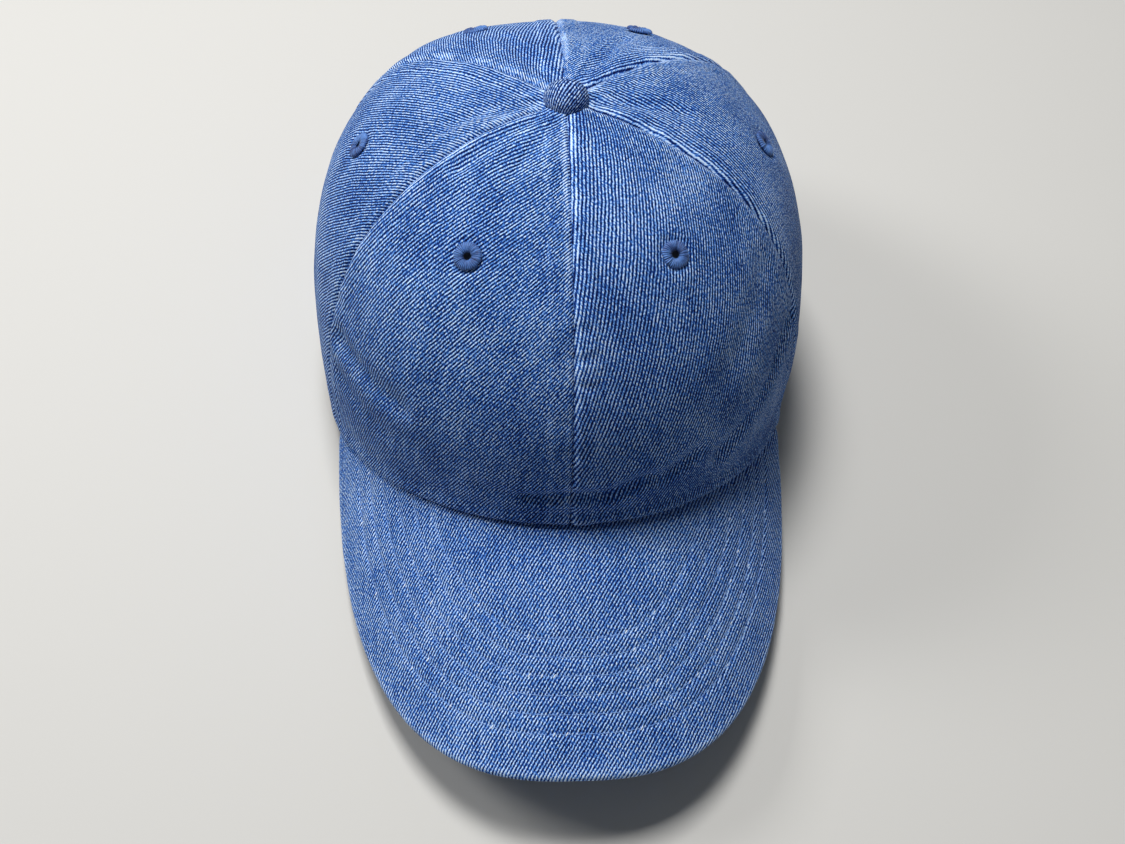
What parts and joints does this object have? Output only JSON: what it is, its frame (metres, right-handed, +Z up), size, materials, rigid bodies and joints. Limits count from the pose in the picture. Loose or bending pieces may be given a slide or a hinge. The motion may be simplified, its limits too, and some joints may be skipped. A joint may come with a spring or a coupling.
{
  "type": "baseball cap",
  "caption": "Soft denim baseball cap with a panelled crown, curved stitched visor, covered top button, sewn eyelets, and a rear strap opening with a cam-lever buckle.",
  "frame": {"origin": "On the surface the cap stands on, under the middle of the head opening. The cap stands on the two side edges of the visor and the back of its hem, so the hem is tipped back by about three degrees.", "axes": "+Z up, the visor points along -Y, the strap opening is towards +Y, +X is the wearer's left"},
  "size_m": [0.165, 0.2704, 0.1253],
  "materials": {
    "denim": "washed indigo cotton twill",
    "seam_tape": "plain woven cotton tape",
    "sweatband": "brushed cotton twill",
    "visor_board": "matt polyethylene sheet",
    "eyelet_thread": "satin-stitched polyester thread",
    "button_steel": "pressed zinc-plated steel",
    "buckle_brass": "antiqued brass, satin"
  },
  "bodies": {
    "crown": {"front_panel_left": "denim", "front_panel_right": "denim", "side_panel_left": "denim", "side_panel_right": "denim", "back_panel_left": "denim", "back_panel_right": "denim", "front_seam_tape": "seam_tape", "back_seam_tape": "seam_tape", "front_side_seam_tape_left": "seam_tape", "side_back_seam_tape_left": "seam_tape", "front_side_seam_tape_right": "seam_tape", "side_back_seam_tape_right": "seam_tape", "sweatband": "sweatband", "opening_binding": "denim", "visor_board": "visor_board", "visor_upper_cover": "denim", "visor_lower_cover": "denim", "front_eyelet_left": "eyelet_thread", "front_eyelet_right": "eyelet_thread", "side_eyelet_left": "eyelet_thread", "side_eyelet_right": "eyelet_thread", "back_eyelet_left": "eyelet_thread", "back_eyelet_right": "eyelet_thread", "button_rivet": "button_steel", "button_shell": "button_steel", "button_cover": "denim", "keeper_tab": "denim", "buckle_frame": "buckle_brass", "buckle_pin": "buckle_brass"},
    "strap": {"strap": "denim"},
    "buckle_lever": {"buckle_lever": "buckle_brass"}
  },
  "joints": [
    {"name": "strap_adjust", "type": "hinge", "parent": "crown", "child": "strap", "pos_m": [0, 0.02776, 0.00648], "axis": [0, 0.0559, 0.9984], "range_deg": [-6, 6]},
    {"name": "buckle_lever_pivot", "type": "hinge", "parent": "crown", "child": "buckle_lever", "pos_m": [0.02995, 0.09246, 0.01288], "axis": [0, -0.0559, -0.9984], "range_deg": [0, 110]}
  ]
}
